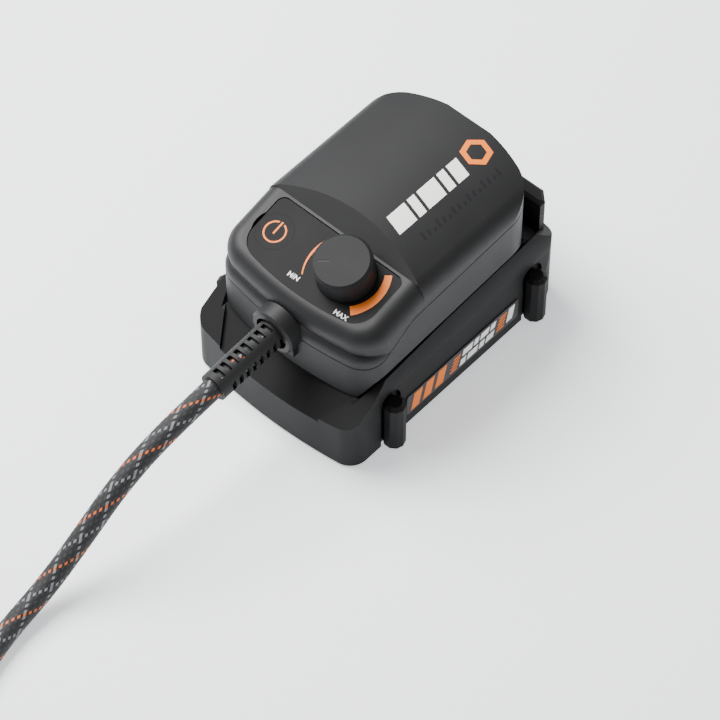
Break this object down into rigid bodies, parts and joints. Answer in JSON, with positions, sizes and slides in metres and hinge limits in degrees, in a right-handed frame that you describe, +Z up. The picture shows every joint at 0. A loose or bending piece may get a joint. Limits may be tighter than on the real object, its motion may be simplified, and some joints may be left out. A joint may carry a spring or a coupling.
{
  "type": "rotary tool battery hub",
  "caption": "Cordless power hub for a rotary hobby tool: tilted panel with speed knob and power key, slide-on battery pack with latch, braided tool cord",
  "frame": {"origin": "on the surface under the battery pack, midway between its corner bosses", "axes": "+X to the right seen from the cord side, +Y away from the cord towards the release button, +Z up"},
  "size_m": [0.1321, 0.3644, 0.0756],
  "materials": {
    "housing_plastic": "fine spark-eroded texture",
    "pack_plastic": "fine spark-eroded texture",
    "panel_plastic": "satin",
    "knob_plastic": "satin",
    "black_plastic": "satin",
    "label_film": null,
    "orange_print": "printed",
    "cell_wrap": "shrink wrap",
    "holder_plastic": "moulded",
    "circuit_board": "solder mask",
    "steel": "zinc plated",
    "nickel_strip": "nickel plated",
    "contact_brass": "tin-brushed",
    "heat_sink_metal": "extruded",
    "relief_rubber": "moulded",
    "cord_braid": "braided sleeve with light and orange flecks",
    "wire_skin": "extruded"
  },
  "bodies": {
    "battery_pack": {"battery_lower_shell": "pack_plastic", "battery_upper_shell": "pack_plastic", "corner_bosses": "pack_plastic", "battery_screws": "steel", "side_label_left": "label_film", "side_label_right": "label_film", "battery_cells": "cell_wrap", "cell_holder_left": "holder_plastic", "cell_holder_right": "holder_plastic", "cell_strips": "nickel_strip", "battery_board": "circuit_board", "battery_terminals": "contact_brass", "latch_spring": "steel"},
    "latch": {"latch_slider": "black_plastic", "release_button": "pack_plastic"},
    "hub": {"hub_lower_housing": "housing_plastic", "hub_upper_housing": "housing_plastic", "control_panel": "panel_plastic", "hub_screws": "steel", "tact_switch": "black_plastic", "control_board": "circuit_board", "potentiometer_body": "steel", "pot_nut": "steel", "motor_board": "circuit_board", "motor_capacitor": "black_plastic", "heat_sink": "heat_sink_metal", "power_transistors": "black_plastic", "terminal_block": "holder_plastic", "contact_carrier": "black_plastic", "contact_blades": "contact_brass", "cord_collar": "housing_plastic", "strain_relief": "relief_rubber", "cord_clamp": "steel", "clamp_screws": "steel", "cord_end": "cord_braid", "inner_leads": "wire_skin", "power_cord": "cord_braid", "cord_coil": "cord_braid", "cord_tail": "cord_braid", "connector_relief": "relief_rubber", "connector_body": "black_plastic", "connector_pins": "contact_brass"},
    "knob": {"speed_knob": "knob_plastic", "knob_pointer": "black_plastic", "potentiometer_shaft": "black_plastic"},
    "key": {"power_button": "panel_plastic", "power_symbol": "orange_print"}
  },
  "joints": [
    {"name": "latch_press", "type": "slide", "parent": "battery_pack", "child": "latch", "axis": [0, 0, -1], "range_m": [0, 0.0026], "stiffness_N_per_m": 800, "springref_m": -0.002, "deforming": ["latch_spring"]},
    {"name": "hub_slide", "type": "slide", "parent": "battery_pack", "child": "hub", "axis": [0, -1, 0], "range_m": [0, 0.08]},
    {"name": "knob_turn", "type": "hinge", "parent": "hub", "child": "knob", "pos_m": [0.0106, -0.0302, 0.0631], "axis": [0, 0.247, -0.969], "range_deg": [0, 260]},
    {"name": "key_press", "type": "slide", "parent": "hub", "child": "key", "axis": [0, 0.247, -0.969], "range_m": [0, 0.0006], "stiffness_N_per_m": 1500, "springref_m": -0.001}
  ]
}
